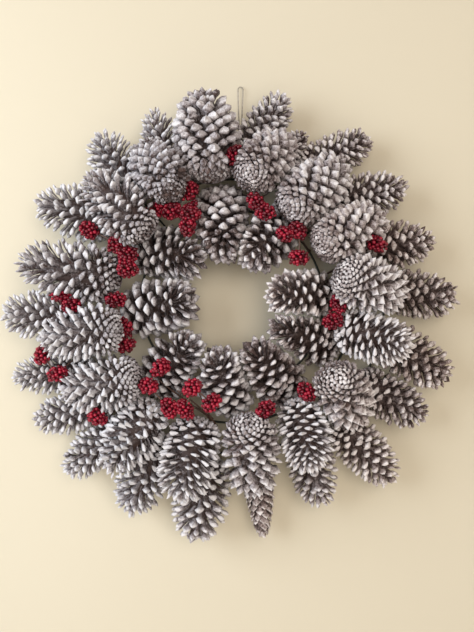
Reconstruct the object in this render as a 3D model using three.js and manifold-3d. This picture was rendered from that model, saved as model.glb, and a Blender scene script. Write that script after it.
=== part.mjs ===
// A wreath of whitened pine cones with sprays of red berries on a round wire frame.
// Millimetres, +Z up, +X to the right of someone who faces it. The cones face -Y, the back +Y.
// The origin is the top of the inside of the hanging loop, where the wreath is carried.

import * as THREE from 'three';
import { mergeVertices } from 'three/addons/utils/BufferGeometryUtils.js';
import Module from 'manifold-3d';

const wasm = await Module();
wasm.setup();

// Clearance between pieces that touch
const CLEARANCE = 0.3;

// Cones whose outlines are closer than this share the space between them
const NEIGHBOUR_RANGE = 4;

// Share of the way between two axes that stays clear on each side of the plane between them
const AXIS_MARGIN = 0.2;
const ENOUGH_ROOM = 12;

// A scale this near to where its cone rests is the one that touches there
const SEAT_RANGE = 12;

// Wire frame: three rings and straight ties in one plane. Depths are measured forward from the
// back plane, which the hanging wreath leans against.
const FRAME_RING_RADII = [120, 160, 200];
const FRAME_WIRE_RADIUS = 1.5;
const FRAME_DEPTH = 3.4;
const FRAME_TIES = 4;
const TIE_WIRE_RADIUS = 1.1;
const RING_STEPS = 20;
const WIRE_SIDES = 4;
const FRONT_OF_FRAME = FRAME_DEPTH + FRAME_WIRE_RADIUS + CLEARANCE;

// Hanging loop: one thin wire with a round bend at the top, closed by an eye on the outer ring
const LOOP_WIRE_RADIUS = 0.6;
const LOOP_BEND_RADIUS = 3.4;
const LOOP_BEND_STEPS = 6;
const LOOP_X = 11;
const LOOP_BEND_Z = 278;
const LOOP_FOOT_BEARING = 3;
const LOOP_FOOT_SPREAD = 0.65;
const EYE_STEPS = 8;

// Shape of a cone, as shares of its length or half width
const WIDEST_AT = 0.36;
const TIP_FULLNESS = 3.2;
const TIP_BLUNTNESS = 0.45;
const BASE_POLE = 0.02;
const FIRST_ROW = 0.05;
const LAST_ROW = 0.86;
const CLOSED_UP_TO = 0.12;
const OPEN_FROM = 0.45;
const CLOSED_CORE = 0.9;
const OPEN_CORE = 0.55;

// Scales: how far they reach up and how wide their ends are, as shares of the space of one scale
const SCALE_REACH = 1.1;
const BASE_SCALE_REACH = 0.66;
const SCALE_WIDTH = 0.56;
const TIP_POLE_REACH = 0.4;
const ROW_TWIST = 0.14;

// Tip scales end on the outline at this share of the length, so that they stay spread
const SPREAD_TIP = 0.95;
const GOLDEN_ANGLE = 2.39996;

// Berries: each clump is a ball of them, raised out of its hollow places
const CLUMP_RADIUS = 11.5;
const CLUMP_HOLLOW_RADIUS = 8.6;
const STEM_RADIUS = 1.3;
const STEM_SIDES = 3;
const KNOT_RADIUS = 2.4;

// Distance of a twelve-sided ball's faces from its middle, as a share of its corners'
const DODECAHEDRON_FACES = 0.7947;

// Cones by layer. Each row: bearing of its middle clockwise from the top, distance of its
// middle from the wreath's centre and from the back plane, swing of its tip clockwise from
// straight outward, tilt of its tip toward the viewer, length and width. Angles are in degrees.
const OUTER_CONES = [
  [335.2, 213, 31, 12, 8, 105, 54],
  [318.7, 221, 38, 16, 8, 106, 65],
  [300, 225, 39, -20, 8, 112, 72],
  [265, 238, 38, 11, 8, 112, 68],
  [248, 247, 32, 18, 8, 105, 55],
  [235, 246, 33, 23, 8, 105, 56],
  [222.6, 253, 35, 7, 8, 105, 57],
  [206.5, 246, 40, -1, 8, 112, 70],
  [189, 252, 40, -2, 8, 112, 74],
  [172, 250, 27, 3, 6, 112, 38],
  [154, 231, 35, 13, 8, 112, 62],
  [138.5, 254, 35, -1, 8, 110, 62],
  [107.4, 239, 40, 15, 8, 110, 66],
  [122, 234, 40, -4, 8, 106, 60],
  [88, 233, 35, 10, 8, 112, 62],
  [71, 214, 36, 14, 8, 110, 63],
  [52, 217, 38, 30, 8, 108, 57],
  [35.2, 228, 31, 32, 8, 102, 54],
  [10, 221, 33, 26, 8, 108, 57],
  [22, 200, 27, 4, 8, 72, 44],
];
const INNER_CONES = [
  [352.8, 96, 50, -177, 46, 110, 80],
  [306, 97, 49, 154, 45, 112, 74],
  [265, 91, 50, 171, 46, 112, 80],
  [222.5, 108, 52, 176, 44, 110, 74],
  [185.5, 101, 52, 156, 50, 110, 75],
  [151, 103, 49, 169, 46, 110, 75],
  [117, 103, 44, 175, 38, 108, 67],
  [86, 89, 49, -178, 46, 112, 69],
  [29, 89, 51, -168, 50, 108, 75],
];
const FRONT_CONES = [
  [351.2, 203, 68, 1, 0, 118, 82],
  [330, 178, 80, -1, -26, 98, 64],
  [310, 177, 88, 5, -8, 112, 74],
  [280, 204, 62, 1, 0, 134, 79],
  [257, 184, 84, 4, -10, 108, 70],
  [237, 188, 78, 21, -15, 106, 73],
  [216, 205, 80, 1, 24, 108, 71],
  [195, 198, 84, -2, 36, 108, 77],
  [173, 192, 76, 4, -27, 118, 76],
  [151.5, 186, 80, 21, 42, 100, 69],
  [131, 180, 78, 20, -44, 100, 75],
  [104.6, 178, 75, 4, 36, 102, 68],
  [84.5, 168, 83, 24, -29, 102, 73],
  [60, 165, 78, 8, -21, 104, 68],
  [37, 168, 78, 11, -19, 108, 72],
  [14, 176, 74, 28, -36, 100, 69],
];

// Berry sprays: the clumps of each, as bearing, distance from the centre and from the back plane.
// The first clump is the one on the main stem.
const BERRY_SPRAYS = [
  [[334, 113, 92], [339, 140, 84], [326, 127, 90], [329, 101, 92], [320, 139, 88]],
  [[293, 135, 84], [296, 155, 78], [286, 130, 84], [296, 193, 72]],
  [[268, 196, 68], [272, 212, 64]],
  [[270, 140, 76], [256, 134, 84], [247, 139, 84]],
  [[247, 232, 66], [254, 243, 60]],
  [[229, 216, 76]],
  [[210, 149, 92], [203, 142, 92], [224, 142, 96], [226, 116, 100], [204, 113, 104], [191, 124, 98]],
  [[163, 137, 88]],
  [[141, 142, 86]],
  [[92, 129, 76], [102, 126, 72]],
  [[69, 186, 85]],
  [[44, 113, 92], [39, 100, 92], [58, 94, 88]],
  [[14, 119, 90], [21, 111, 92], [1, 173, 84]],
];

const degrees = THREE.MathUtils.degToRad;

// A point on the wreath from a clock bearing, its distance from the centre and its depth
function onWreath(bearing, radius, depth) {
  const angle = degrees(bearing);
  return new THREE.Vector3(radius * Math.sin(angle), -depth, radius * Math.cos(angle));
}

// Solids for joining and cutting
function toSolid(geometry) {
  const bare = geometry.clone();
  bare.deleteAttribute('normal');
  bare.deleteAttribute('uv');
  const merged = mergeVertices(bare, 1e-4);
  return new wasm.Manifold(new wasm.Mesh({
    numProp: 3,
    vertProperties: new Float32Array(merged.attributes.position.array),
    triVerts: new Uint32Array(merged.index.array),
  }));
}

function toGeometry(solid) {
  const mesh = solid.getMesh();
  const geometry = new THREE.BufferGeometry();
  geometry.setAttribute('position', new THREE.BufferAttribute(mesh.vertProperties, 3));
  geometry.setIndex(new THREE.BufferAttribute(mesh.triVerts, 1));
  return geometry;
}

function join(geometries) {
  return toGeometry(geometries.map(toSolid).reduce((whole, piece) => whole.add(piece)));
}

// What is left of a geometry after a cut, without loose scraps
function cutAway(geometry, cutter) {
  const pieces = toSolid(geometry).subtract(cutter).decompose();
  const largest = pieces.reduce((best, piece) => (piece.volume() > best.volume() ? piece : best));
  return toGeometry(largest);
}

// A straight wire between two points, with its ends a little past them
function wireBetween(start, end, radius, sides, overrun = 0) {
  const along = end.clone().sub(start);
  const geometry = new THREE.CylinderGeometry(radius, radius, along.length() + 2 * overrun, sides);
  const turn = new THREE.Quaternion().setFromUnitVectors(
    new THREE.Vector3(0, 1, 0),
    along.normalize(),
  );
  geometry.applyQuaternion(turn);
  return geometry.translate(...start.clone().add(end).multiplyScalar(0.5).toArray());
}

// Half width of a cone's outline at a share of its length, as a share of its greatest half width
function coneOutline(share) {
  if (share < WIDEST_AT) {
    const back = (WIDEST_AT - share) / WIDEST_AT;
    return Math.sqrt(Math.max(0, 1 - back ** 2));
  }
  const forward = Math.min(1, (share - WIDEST_AT) / (1 - WIDEST_AT));
  return (1 - forward ** TIP_FULLNESS) ** TIP_BLUNTNESS;
}

// How far the valleys between the scales lie from the axis, as a share of the outline
function coreShare(share) {
  const opening = THREE.MathUtils.smoothstep(share, CLOSED_UP_TO, OPEN_FROM);
  return THREE.MathUtils.lerp(CLOSED_CORE, OPEN_CORE, opening);
}

// A cone's place: its base, its axis and its size
function placeCone(row) {
  const [bearing, radius, depth, swing, tilt, length, width] = row;
  const heading = degrees(bearing + swing);
  const lift = degrees(tilt);
  const axis = new THREE.Vector3(
    Math.sin(heading) * Math.cos(lift),
    -Math.sin(lift),
    Math.cos(heading) * Math.cos(lift),
  );
  const base = onWreath(bearing, radius, depth).addScaledVector(axis, -length / 2);
  return { base, axis, length, halfWidth: width / 2, limits: [], seats: [] };
}

// How far a cone reaches along a direction, with its scales and along its bare axis
const OUTLINE_SAMPLES = [0, 0.04, 0.1, 0.18, 0.28, 0.4, 0.52, 0.64, 0.76, 0.88, 0.96, 1];
function reach(cone, direction) {
  const slope = cone.axis.dot(direction);
  const side = Math.sqrt(Math.max(0, 1 - slope * slope));
  const start = cone.base.dot(direction);
  const spans = OUTLINE_SAMPLES.map(
    (share) => slope * cone.length * share + side * cone.halfWidth * coneOutline(share),
  );
  const longest = Math.max(...spans);
  return {
    whole: start + longest,
    bare: start + Math.max(0, slope * cone.length),
    share: OUTLINE_SAMPLES[spans.indexOf(longest)],
  };
}

// The point of a cone's outline that lies furthest along a direction
function furthestPoint(cone, direction, share) {
  const outward = direction.clone()
    .addScaledVector(cone.axis, -cone.axis.dot(direction))
    .normalize();
  return cone.base.clone()
    .addScaledVector(cone.axis, cone.length * share)
    .addScaledVector(outward, cone.halfWidth * coneOutline(share));
}

// How deep two cones overlap across a plane that faces along a direction
function overlapAlong(first, second, direction) {
  const near = reach(first, direction);
  const far = reach(second, direction.clone().negate());
  return {
    direction,
    depth: near.whole + far.whole,
    room: -far.bare - near.bare,
    near,
    far,
  };
}

// The direction from one cone to another across which they overlap least
function bestSeparation(first, second) {
  const middles = [first, second].map((cone) => cone.base.clone().addScaledVector(
    cone.axis,
    cone.length / 2,
  ));
  let best = overlapAlong(first, second, middles[1].sub(middles[0]).normalize());
  for (let step = 0.6; step > 0.01; step *= 0.7) {
    const sideways = new THREE.Vector3(1, 0, 0).cross(best.direction).normalize();
    const upward = sideways.clone().cross(best.direction);
    for (const [across, up] of [[1, 0], [-1, 0], [0, 1], [0, -1]]) {
      const tried = overlapAlong(first, second, best.direction.clone()
        .addScaledVector(sideways, across * step)
        .addScaledVector(upward, up * step)
        .normalize());
      const gain = Math.min(tried.room, ENOUGH_ROOM) - tried.depth;
      if (gain > Math.min(best.room, ENOUGH_ROOM) - best.depth) {
        best = tried;
      }
    }
  }
  return best;
}

// Planes between neighbours, which the scales bend back behind. Cones that press on each other
// get a seat in the plane, where a scale of each meets the other.
function shareSpace(cones) {
  cones.forEach((first, index) => {
    for (const second of cones.slice(index + 1)) {
      const { direction, depth, room, near, far } = bestSeparation(first, second);
      if (depth < -NEIGHBOUR_RANGE) continue;
      const margin = room * AXIS_MARGIN;
      const plane = THREE.MathUtils.clamp(
        (near.whole - far.whole) / 2,
        near.bare + margin,
        -far.bare - margin,
      );
      const backward = direction.clone().negate();
      first.limits.push({ normal: direction, offset: plane - CLEARANCE / 2 });
      second.limits.push({ normal: backward, offset: -plane - CLEARANCE / 2 });
      if (depth > 0) {
        const seat = furthestPoint(first, direction, near.share)
          .add(furthestPoint(second, backward, far.share))
          .multiplyScalar(0.5);
        const height = seat.dot(direction);
        for (const [cone, level] of [[first, plane - CLEARANCE / 2], [second, plane + CLEARANCE / 2]]) {
          cone.seats.push(seat.clone().addScaledVector(direction, level - height));
        }
      }
    }
  });
}

// Where a cone's axis passes over a ring of the frame, its lowest scale rests on the ring's wire
function seatOnRing(cone, ringRadius) {
  const steps = 40;
  for (let step = 0; step < steps; step += 1) {
    const [here, next] = [step, step + 1].map((count) => (
      cone.base.clone().addScaledVector(cone.axis, (cone.length * count) / steps)
    ));
    const [near, far] = [here, next].map((point) => Math.hypot(point.x, point.z) - ringRadius);
    if (near * far <= 0) {
      const corner = (2 * Math.PI) / RING_STEPS;
      const bearing = Math.atan2(here.x, here.z) - degrees(LOOP_FOOT_BEARING);
      const fromMiddle = bearing - (Math.floor(bearing / corner) + 0.5) * corner;
      const wire = (ringRadius * Math.cos(corner / 2)) / Math.cos(fromMiddle);
      const place = here.clone().multiplyScalar(wire / Math.hypot(here.x, here.z));
      cone.seats.push(new THREE.Vector3(place.x, -FRONT_OF_FRAME, place.z));
      return;
    }
  }
}

// A cone's mesh: a staggered net of valleys on its core, with a blunt scale raised out of each
// mesh of the net and leaning over the next row. Local +Z runs from the base to the tip.
function coneGeometry(cone, aroundCount, rowCount, roll) {
  const toLocal = new THREE.Quaternion()
    .setFromUnitVectors(new THREE.Vector3(0, 0, 1), cone.axis)
    .invert();
  const limits = cone.limits.map(({ normal, offset }) => ({
    normal: normal.clone().applyQuaternion(toLocal),
    offset: offset - normal.dot(cone.base),
  }));
  const bent = (point, root) => {
    const foot = new THREE.Vector3(0, 0, root);
    const arm = point.clone().sub(foot);
    let share = 1;
    for (const { normal, offset } of limits) {
      const wanted = normal.dot(arm);
      const room = offset - normal.dot(foot);
      if (wanted > room) {
        share = Math.min(share, room / wanted);
      }
    }
    return foot.addScaledVector(arm, share);
  };

  const points = [];
  const push = (point) => points.push(point) - 1;
  const spacing = (LAST_ROW - FIRST_ROW) / (rowCount - 1);
  const pitch = (2 * Math.PI) / aroundCount;
  const angleAt = (row, column) => roll + (column + row * (0.5 + ROW_TWIST)) * pitch;
  const ringPoint = (angle, radius, height) => (
    new THREE.Vector3(radius * Math.cos(angle), radius * Math.sin(angle), height)
  );

  const basePole = push(new THREE.Vector3(0, 0, BASE_POLE * cone.length));
  const tipPole = push(new THREE.Vector3(0, 0, (LAST_ROW + spacing * TIP_POLE_REACH) * cone.length));
  const valleys = [];
  for (let row = 0; row < rowCount; row += 1) {
    const share = FIRST_ROW + row * spacing;
    const radius = cone.halfWidth * coneOutline(share) * coreShare(share);
    const height = share * cone.length;
    valleys.push(Array.from({ length: aroundCount }, (_, column) => (
      push(bent(ringPoint(angleAt(row, column), radius, height), height))
    )));
  }
  const valley = (row, column) => {
    if (row < 0) return basePole;
    if (row >= rowCount) return tipPole;
    return valleys[row][((column % aroundCount) + aroundCount) % aroundCount];
  };

  const index = [];
  const ends = [];
  for (let row = 0; row < rowCount; row += 1) {
    const share = FIRST_ROW + row * spacing;
    const rise = spacing * (row === 0 ? BASE_SCALE_REACH : SCALE_REACH);
    const radius = cone.halfWidth * coneOutline(Math.min(SPREAD_TIP, share + rise / 2));
    const height = Math.min(1, share + rise) * cone.length;
    for (let column = 0; column < aroundCount; column += 1) {
      const angle = angleAt(row, column + 0.5);
      const [endLeft, endRight] = [-0.5, 0.5].map((half) => (
        push(bent(ringPoint(angle + half * SCALE_WIDTH * pitch, radius, height), share * cone.length))
      ));
      ends.push(endLeft, endRight);
      const left = valley(row, column);
      const right = valley(row, column + 1);
      const below = valley(row - 1, column + 1);
      const above = valley(row + 1, column);
      index.push(
        ...[below, right, endRight],
        ...[right, above, endRight],
        ...[above, endLeft, endRight],
        ...[above, left, endLeft],
        ...[left, below, endLeft],
        ...[below, endRight, endLeft],
      );
    }
  }

  for (const seat of cone.seats) {
    const place = seat.clone().sub(cone.base).applyQuaternion(toLocal);
    const nearest = ends.reduce((best, end) => (
      points[end].distanceTo(place) < points[best].distanceTo(place) ? end : best
    ));
    const fits = limits.every(({ normal, offset }) => normal.dot(place) < offset + 0.001);
    if (fits && points[nearest].distanceTo(place) < SEAT_RANGE) {
      points[nearest] = place;
    }
  }

  const geometry = new THREE.BufferGeometry();
  geometry.setAttribute(
    'position',
    new THREE.Float32BufferAttribute(points.flatMap((point) => point.toArray()), 3),
  );
  geometry.setIndex(index);
  return geometry;
}

// Wire frame: rings with a corner where the hanging loop holds them, and ties across them
function frameGeometry() {
  const turn = degrees(LOOP_FOOT_BEARING);
  const rings = FRAME_RING_RADII.map((radius) => (
    new THREE.TorusGeometry(radius, FRAME_WIRE_RADIUS, WIRE_SIDES, RING_STEPS)
      .rotateX(Math.PI / 2)
      .rotateY(turn)
      .translate(0, -FRAME_DEPTH, 0)
  ));
  const inner = FRAME_RING_RADII[0];
  const outer = FRAME_RING_RADII[FRAME_RING_RADII.length - 1];
  const ties = Array.from({ length: FRAME_TIES }, (_, tie) => {
    const bearing = LOOP_FOOT_BEARING + ((tie + 0.5) * 360) / FRAME_TIES;
    return wireBetween(
      onWreath(bearing, inner, FRAME_DEPTH),
      onWreath(bearing, outer, FRAME_DEPTH),
      TIE_WIRE_RADIUS,
      WIRE_SIDES,
    );
  });
  return join([...rings, ...ties]);
}

// A wire through points that lie in one plane parallel to the back plane
function bentWire(points, radius, sides) {
  const positions = [];
  const index = [];
  const backward = new THREE.Vector3(0, 1, 0);
  points.forEach((point, place) => {
    const before = points[Math.max(0, place - 1)];
    const after = points[Math.min(points.length - 1, place + 1)];
    const across = after.clone().sub(before).normalize().cross(backward);
    for (let side = 0; side < sides; side += 1) {
      const angle = (2 * Math.PI * side) / sides;
      positions.push(...point.clone()
        .addScaledVector(across, radius * Math.cos(angle))
        .addScaledVector(backward, radius * Math.sin(angle))
        .toArray());
      const next = (side + 1) % sides;
      if (place > 0) {
        const [low, high] = [(place - 1) * sides, place * sides];
        index.push(low + side, high + side, low + next, low + next, high + side, high + next);
      }
    }
  });
  const last = (points.length - 1) * sides;
  for (let side = 1; side < sides - 1; side += 1) {
    index.push(0, side, side + 1, last, last + side + 1, last + side);
  }
  const geometry = new THREE.BufferGeometry();
  geometry.setAttribute('position', new THREE.Float32BufferAttribute(positions, 3));
  geometry.setIndex(index);
  return geometry;
}

// Hanging loop: two legs and a bend in one wire, closed by an eye round the frame's outer ring
function loopGeometry(wireRadius, sides) {
  const ringRadius = FRAME_RING_RADII[FRAME_RING_RADII.length - 1];
  const eyeRadius = (FRAME_WIRE_RADIUS + CLEARANCE + LOOP_WIRE_RADIUS) / Math.cos(Math.PI / EYE_STEPS);
  const eyeCentre = onWreath(LOOP_FOOT_BEARING, ringRadius, FRAME_DEPTH);
  const foot = (spread) => eyeCentre.clone().add(new THREE.Vector3(spread, 0, eyeRadius));
  const bend = Array.from({ length: LOOP_BEND_STEPS + 1 }, (_, step) => {
    const angle = Math.PI * (1 - step / LOOP_BEND_STEPS);
    return new THREE.Vector3(
      LOOP_X + LOOP_BEND_RADIUS * Math.cos(angle),
      -FRAME_DEPTH,
      LOOP_BEND_Z + LOOP_BEND_RADIUS * Math.sin(angle),
    );
  });
  const route = [foot(-LOOP_FOOT_SPREAD), ...bend, foot(LOOP_FOOT_SPREAD)];
  const eye = new THREE.TorusGeometry(eyeRadius, wireRadius, sides, EYE_STEPS)
    .rotateY(Math.PI / 2)
    .translate(...eyeCentre.toArray());
  return join([bentWire(route, wireRadius, sides), eye]);
}

const turned = (geometry, turn) => geometry.rotateX(turn).rotateZ(2 * turn);

// A clump of berries: a ball whose twelve evenly spread corners are raised to berries
function clumpGeometry(centre, turn) {
  const corners = new THREE.IcosahedronGeometry(1, 0).attributes.position;
  const apart = 0.1;
  const isBerry = (direction) => Array.from({ length: corners.count }, (_, corner) => (
    new THREE.Vector3().fromBufferAttribute(corners, corner).distanceTo(direction)
  )).some((distance) => distance < apart);
  const geometry = new THREE.IcosahedronGeometry(1, 1);
  const points = geometry.attributes.position;
  for (let place = 0; place < points.count; place += 1) {
    const direction = new THREE.Vector3().fromBufferAttribute(points, place);
    direction.multiplyScalar(isBerry(direction) ? CLUMP_RADIUS : CLUMP_HOLLOW_RADIUS);
    points.setXYZ(place, ...direction.toArray());
  }
  return turned(geometry, turn).translate(...centre.toArray());
}

// How deep a straight stem runs inside the outlines of the cones, added up along it
function depthInCones(start, end, cones) {
  const steps = 16;
  let depth = 0;
  for (let step = 0; step <= steps; step += 1) {
    const point = start.clone().lerp(end, step / steps);
    for (const cone of cones) {
      const arm = point.clone().sub(cone.base);
      const height = arm.dot(cone.axis);
      const share = THREE.MathUtils.clamp(height / cone.length, 0, 1);
      const width = cone.halfWidth * coneOutline(share);
      depth += Math.max(0, width - arm.addScaledVector(cone.axis, -height).length());
    }
  }
  return depth;
}

// The knot over a free corner of the frame's rings from which a stem runs clearest of the cones
function clearestKnot(clump, cones, taken) {
  let best = null;
  for (const ringRadius of FRAME_RING_RADII) {
    for (let corner = 0; corner < RING_STEPS; corner += 1) {
      const bearing = LOOP_FOOT_BEARING + (corner * 360) / RING_STEPS;
      const place = onWreath(bearing, ringRadius, FRONT_OF_FRAME + KNOT_RADIUS);
      if (taken.some((knot) => knot.distanceTo(place) < KNOT_RADIUS)) continue;
      const cost = depthInCones(place, clump, cones) + place.distanceTo(clump);
      if (!best || cost < best.cost) {
        best = { place, cost };
      }
    }
  }
  return best.place;
}

// A spray's place: its knot, the middles of its clumps, and its stems from the knot to the first
// clump and on to each other clump from the nearest earlier one
function placeSpray(clumps, cones, taken) {
  const centres = clumps.map((clump) => onWreath(...clump));
  const knot = clearestKnot(centres[0], cones, taken);
  const stems = centres.map((centre, clump) => {
    const start = centres.slice(0, clump).reduce(
      (nearest, earlier) => (
        earlier.distanceTo(centre) < nearest.distanceTo(centre) ? earlier : nearest
      ),
      knot,
    );
    return [start, centre];
  });
  return { knot, centres, stems };
}

// A spray: its clumps of berries, their stems and its knot, all in one body
function sprayGeometry({ knot, centres, stems }, spray) {
  return join([
    new THREE.OctahedronGeometry(KNOT_RADIUS).translate(...knot.toArray()),
    ...stems.map(([start, end]) => wireBetween(start, end, STEM_RADIUS, STEM_SIDES)),
    ...centres.map((centre, clump) => clumpGeometry(centre, spray + clump)),
  ]);
}

// The room that a spray needs among the scales: a twelve-sided one round each clump, whose
// faces lie over the berries, and wider stems and knot
function sprayRoom({ knot, centres, stems }, spray) {
  return toSolid(join([
    new THREE.OctahedronGeometry(KNOT_RADIUS + 2 * CLEARANCE).translate(...knot.toArray()),
    ...stems.map(([start, end]) => (
      wireBetween(start, end, STEM_RADIUS + 2 * CLEARANCE, STEM_SIDES)
    )),
    ...centres.map((centre, clump) => turned(
      new THREE.DodecahedronGeometry((CLUMP_RADIUS + CLEARANCE) / DODECAHEDRON_FACES)
        .rotateZ(Math.PI / 2),
      spray + clump,
    ).translate(...centre.toArray())),
  ]));
}

// Materials
const finish = (color, roughness, metalness = 0) => (
  new THREE.MeshStandardMaterial({ color, roughness, metalness })
);
const coneMaterial = finish(0x9c8f8b, 0.85);
const berryMaterial = finish(0xb0142e, 0.35);
const frameMaterial = finish(0x2c3329, 0.5, 0.4);
const loopMaterial = finish(0x6f6a64, 0.4, 0.9);

// Whole wreath
const wreath = new THREE.Group();
wreath.position.set(-LOOP_X, FRAME_DEPTH, -(LOOP_BEND_Z + LOOP_BEND_RADIUS - LOOP_WIRE_RADIUS));

function addPiece(name, geometry, material, piece = null) {
  const mesh = new THREE.Mesh(geometry, material);
  mesh.name = name;
  if (piece) {
    mesh.position.copy(piece.base);
    mesh.quaternion.setFromUnitVectors(new THREE.Vector3(0, 0, 1), piece.axis);
  }
  wreath.add(mesh);
}

const numbered = (name, index) => `${name}_${String(index + 1).padStart(2, '0')}`;

const layers = [
  { name: 'outer_cone', rows: OUTER_CONES, around: 6, count: 5, ring: FRAME_RING_RADII[2] },
  { name: 'inner_cone', rows: INNER_CONES, around: 7, count: 6, ring: FRAME_RING_RADII[0] },
  { name: 'front_cone', rows: FRONT_CONES, around: 7, count: 7, ring: null },
];
const cones = layers.flatMap(({ name, rows, around, count, ring }) => (
  rows.map((row, index) => ({
    ...placeCone(row),
    name: numbered(name, index),
    around,
    count,
    ring,
  }))
));

for (const cone of cones) {
  cone.limits.push({ normal: new THREE.Vector3(0, 1, 0), offset: -FRONT_OF_FRAME });
  if (cone.ring) {
    seatOnRing(cone, cone.ring);
  }
}
shareSpace(cones);

const sprays = [];
for (const clumps of BERRY_SPRAYS) {
  sprays.push(placeSpray(clumps, cones, sprays.map(({ knot }) => knot)));
}
const cutters = sprays.map(sprayRoom);
cutters.push(toSolid(loopGeometry(LOOP_WIRE_RADIUS + CLEARANCE, WIRE_SIDES)));

function meets(firstBox, secondBox) {
  return [0, 1, 2].every((side) => (
    firstBox.min[side] < secondBox.max[side] && secondBox.min[side] < firstBox.max[side]
  ));
}

cones.forEach((cone, index) => {
  const turn = new THREE.Quaternion().setFromUnitVectors(new THREE.Vector3(0, 0, 1), cone.axis);
  const place = new THREE.Matrix4().compose(cone.base, turn, new THREE.Vector3(1, 1, 1));
  let geometry = coneGeometry(cone, cone.around, cone.count, index * GOLDEN_ANGLE);
  geometry.applyMatrix4(place);
  for (const cutter of cutters) {
    if (meets(toSolid(geometry).boundingBox(), cutter.boundingBox())) {
      geometry = cutAway(geometry, cutter);
    }
  }
  geometry.applyMatrix4(place.invert());
  addPiece(cone.name, geometry, coneMaterial, cone);
});

sprays.forEach((spray, index) => {
  addPiece(numbered('berry_spray', index), sprayGeometry(spray, index), berryMaterial);
});
addPiece('wire_frame', frameGeometry(), frameMaterial);
addPiece('hanging_loop', loopGeometry(LOOP_WIRE_RADIUS, WIRE_SIDES), loopMaterial);

export default wreath;
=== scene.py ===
# Looks of the pinecone wreath: every cone with its separate scales, every berry, the wires,
# a pale backdrop and floor, soft light and the camera. Metres, in the CAD model's frame.

import math

import bpy
import numpy as np
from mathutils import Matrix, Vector


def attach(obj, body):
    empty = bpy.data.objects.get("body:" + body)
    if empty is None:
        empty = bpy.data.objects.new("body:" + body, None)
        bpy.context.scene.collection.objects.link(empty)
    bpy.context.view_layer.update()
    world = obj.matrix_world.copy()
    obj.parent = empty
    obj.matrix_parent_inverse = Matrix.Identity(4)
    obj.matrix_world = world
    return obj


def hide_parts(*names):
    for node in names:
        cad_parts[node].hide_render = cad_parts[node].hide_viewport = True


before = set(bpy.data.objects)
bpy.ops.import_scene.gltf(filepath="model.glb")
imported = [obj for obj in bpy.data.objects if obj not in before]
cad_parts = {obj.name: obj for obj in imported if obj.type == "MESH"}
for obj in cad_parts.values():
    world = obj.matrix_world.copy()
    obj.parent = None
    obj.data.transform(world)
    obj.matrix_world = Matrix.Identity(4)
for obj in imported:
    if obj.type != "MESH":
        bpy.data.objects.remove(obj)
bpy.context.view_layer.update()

MM = 0.001
rng = np.random.default_rng(20)

# The same places as in part.mjs, in millimetres and degrees. Cones: bearing, distance from the
# centre, depth from the back plane, swing, tilt, length, width. Clumps: the first three
OUTER_CONES = [
    (335.2, 213, 31, 12, 8, 105, 54), (318.7, 221, 38, 16, 8, 106, 65),
    (300, 225, 39, -20, 8, 112, 72), (265, 238, 38, 11, 8, 112, 68), (248, 247, 32, 18, 8, 105, 55),
    (235, 246, 33, 23, 8, 105, 56), (222.6, 253, 35, 7, 8, 105, 57),
    (206.5, 246, 40, -1, 8, 112, 70), (189, 252, 40, -2, 8, 112, 74), (172, 250, 27, 3, 6, 112, 38),
    (154, 231, 35, 13, 8, 112, 62), (138.5, 254, 35, -1, 8, 110, 62),
    (107.4, 239, 40, 15, 8, 110, 66), (122, 234, 40, -4, 8, 106, 60), (88, 233, 35, 10, 8, 112, 62),
    (71, 214, 36, 14, 8, 110, 63), (52, 217, 38, 30, 8, 108, 57), (35.2, 228, 31, 32, 8, 102, 54),
    (10, 221, 33, 26, 8, 108, 57), (22, 200, 27, 4, 8, 72, 44),
]
INNER_CONES = [
    (352.8, 96, 50, -177, 46, 110, 80), (306, 97, 49, 154, 45, 112, 74),
    (265, 91, 50, 171, 46, 112, 80), (222.5, 108, 52, 176, 44, 110, 74),
    (185.5, 101, 52, 156, 50, 110, 75), (151, 103, 49, 169, 46, 110, 75),
    (117, 103, 44, 175, 38, 108, 67), (86, 89, 49, -178, 46, 112, 69),
    (29, 89, 51, -168, 50, 108, 75),
]
FRONT_CONES = [
    (351.2, 203, 68, 1, 0, 118, 82), (330, 178, 80, -1, -26, 98, 64),
    (310, 177, 88, 5, -8, 112, 74), (280, 204, 62, 1, 0, 134, 79), (257, 184, 84, 4, -10, 108, 70),
    (237, 188, 78, 21, -15, 106, 73), (216, 205, 80, 1, 24, 108, 71),
    (195, 198, 84, -2, 36, 108, 77), (173, 192, 76, 4, -27, 118, 76),
    (151.5, 186, 80, 21, 42, 100, 69), (131, 180, 78, 20, -44, 100, 75),
    (104.6, 178, 75, 4, 36, 102, 68), (84.5, 168, 83, 24, -29, 102, 73),
    (60, 165, 78, 8, -21, 104, 68), (37, 168, 78, 11, -19, 108, 72),
    (14, 176, 74, 28, -36, 100, 69),
]
BERRY_SPRAYS = [
    [(334, 113, 92), (339, 140, 84), (326, 127, 90), (329, 101, 92), (320, 139, 88)],
    [(293, 135, 84), (296, 155, 78), (286, 130, 84), (296, 193, 72)],
    [(268, 196, 68), (272, 212, 64)],
    [(270, 140, 76), (256, 134, 84), (247, 139, 84)],
    [(247, 232, 66), (254, 243, 60)],
    [(229, 216, 76)],
    [
        (210, 149, 92), (203, 142, 92), (224, 142, 96), (226, 116, 100), (204, 113, 104),
        (191, 124, 98),
    ],
    [(163, 137, 88)],
    [(141, 142, 86)],
    [(92, 129, 76), (102, 126, 72)],
    [(69, 186, 85)],
    [(44, 113, 92), (39, 100, 92), (58, 94, 88)],
    [(14, 119, 90), (21, 111, 92), (1, 173, 84)],
]

# The wire frame: its rings and their corners, its wires' radii, and how deep its front lies
RING_RADII = (120, 160, 200)
RING_STEPS = 20
FRAME_DEPTH = 3.4
FRAME_WIRE = 1.5
TIES = 4
TIE_WIRE = 1.1
FRONT_OF_FRAME = 5.2

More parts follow.
